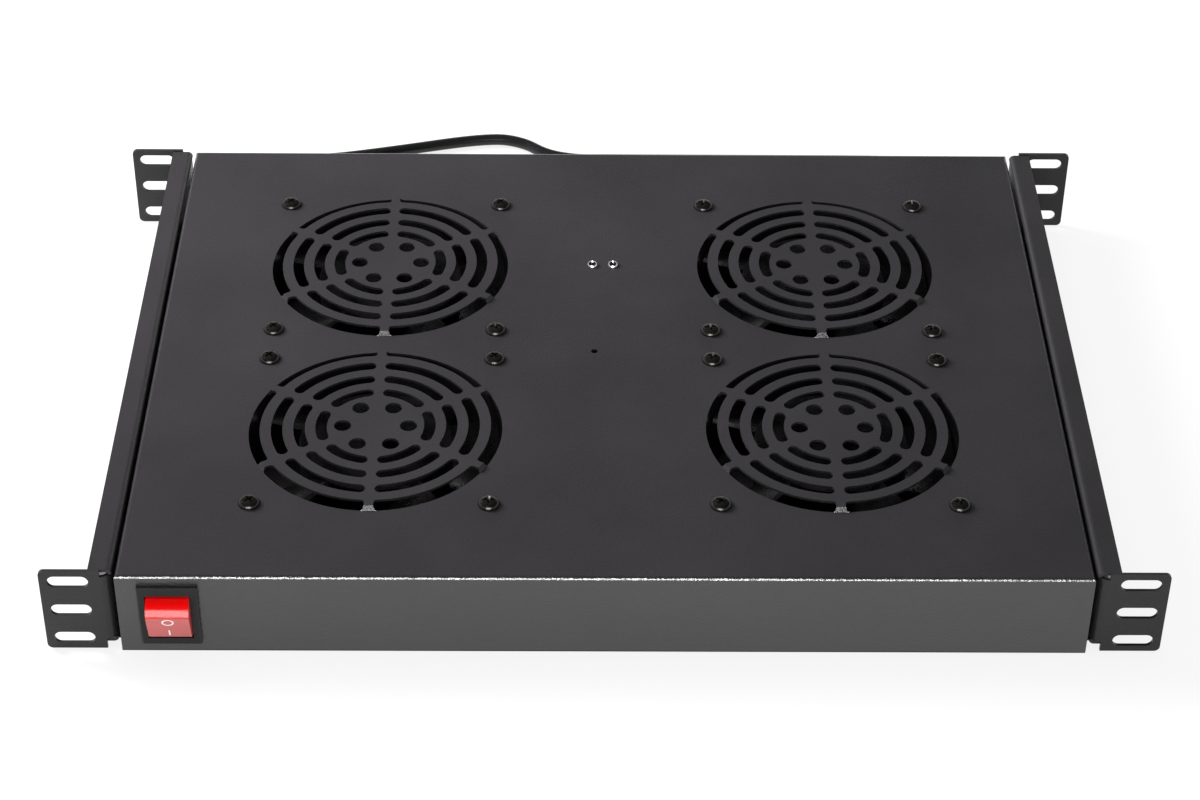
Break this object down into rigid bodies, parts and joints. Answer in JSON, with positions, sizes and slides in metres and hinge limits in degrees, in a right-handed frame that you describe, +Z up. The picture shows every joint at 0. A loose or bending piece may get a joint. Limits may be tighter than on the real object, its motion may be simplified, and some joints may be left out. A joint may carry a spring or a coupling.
{
  "type": "rack fan tray",
  "caption": "Low sheet-steel fan tray for a 19-inch rack, with pressed round grilles, axial fans below, a rocker switch, slotted ears front and rear, and a mains cord.",
  "frame": {"origin": "middle of the tray's footprint, on the surface it stands on", "axes": "+X to the right along the rack's width, +Y to the rear, +Z up"},
  "size_m": [0.4826, 0.4146, 0.0449],
  "materials": {
    "tray_steel": "fine-texture black powder coat",
    "rail_steel": "fine-texture black powder coat",
    "black_screw": "black zinc, semi-gloss",
    "zinc": "bright zinc plate",
    "cast_black": "black die-casting",
    "blade_plastic": "black glass-filled plastic",
    "winding": "lamination with enamelled copper coils",
    "bearing_steel": "ground steel",
    "switch_black": "moulded black nylon",
    "rocker_red": "clear red, lit from behind",
    "white_plastic": "moulded white polyamide",
    "brass": "plated brass",
    "lead_black": "black flexible PVC",
    "earth_green": "green and yellow PVC",
    "cord_black": "black PVC sheath, satin",
    "plug_black": "moulded black PVC"
  },
  "bodies": {
    "tray": {"tray_body": "tray_steel", "rail_left": "rail_steel", "rail_right": "rail_steel", "rail_screws": "black_screw", "rail_spacers": "zinc", "rail_press_nuts": "zinc", "fan_screws": "black_screw", "fan_nuts": "zinc", "switch_housing": "switch_black", "switch_terminals": "zinc", "terminal_block": "white_plastic", "terminal_sleeves": "brass", "terminal_clamp_screws": "zinc", "block_screws": "zinc", "block_nuts": "zinc", "switch_cable": "lead_black", "mains_cable": "cord_black", "earth_wire": "earth_green", "earth_stud": "zinc", "earth_lug": "zinc", "earth_nut": "zinc", "strain_relief": "plug_black", "power_cord": "cord_black", "power_cord_hank": "cord_black", "power_cord_tie": "plug_black", "power_cord_tail": "cord_black", "power_plug": "plug_black", "power_plug_pins": "zinc", "fan_frame_front_left": "cast_black", "fan_bearings_front_left": "bearing_steel", "fan_stator_front_left": "winding", "fan_lead_front_left": "lead_black", "fan_frame_front_right": "cast_black", "fan_bearings_front_right": "bearing_steel", "fan_stator_front_right": "winding", "fan_lead_front_right": "lead_black", "fan_frame_rear_left": "cast_black", "fan_bearings_rear_left": "bearing_steel", "fan_stator_rear_left": "winding", "fan_lead_rear_left": "lead_black", "fan_frame_rear_right": "cast_black", "fan_bearings_rear_right": "bearing_steel", "fan_stator_rear_right": "winding", "fan_lead_rear_right": "lead_black"},
    "rotor_front_left": {"fan_rotor_front_left": "blade_plastic", "fan_shaft_front_left": "bearing_steel"},
    "rotor_front_right": {"fan_rotor_front_right": "blade_plastic", "fan_shaft_front_right": "bearing_steel"},
    "rotor_rear_left": {"fan_rotor_rear_left": "blade_plastic", "fan_shaft_rear_left": "bearing_steel"},
    "rotor_rear_right": {"fan_rotor_rear_right": "blade_plastic", "fan_shaft_rear_right": "bearing_steel"},
    "rocker": {"switch_rocker": "rocker_red"}
  },
  "joints": [
    {"name": "spin_front_left", "type": "hinge", "parent": "tray", "child": "rotor_front_left", "pos_m": [-0.1034, -0.0639, 0.03], "axis": [0, 0, 1], "continuous": true},
    {"name": "spin_front_right", "type": "hinge", "parent": "tray", "child": "rotor_front_right", "pos_m": [0.1034, -0.0639, 0.03], "axis": [0, 0, 1], "continuous": true},
    {"name": "spin_rear_left", "type": "hinge", "parent": "tray", "child": "rotor_rear_left", "pos_m": [-0.1034, 0.0639, 0.03], "axis": [0, 0, 1], "continuous": true},
    {"name": "spin_rear_right", "type": "hinge", "parent": "tray", "child": "rotor_rear_right", "pos_m": [0.1034, 0.0639, 0.03], "axis": [0, 0, 1], "continuous": true},
    {"name": "rocker_switch", "type": "hinge", "parent": "tray", "child": "rocker", "pos_m": [-0.1868, -0.162, 0.021], "axis": [-1, 0, 0], "range_deg": [0, 32]}
  ]
}
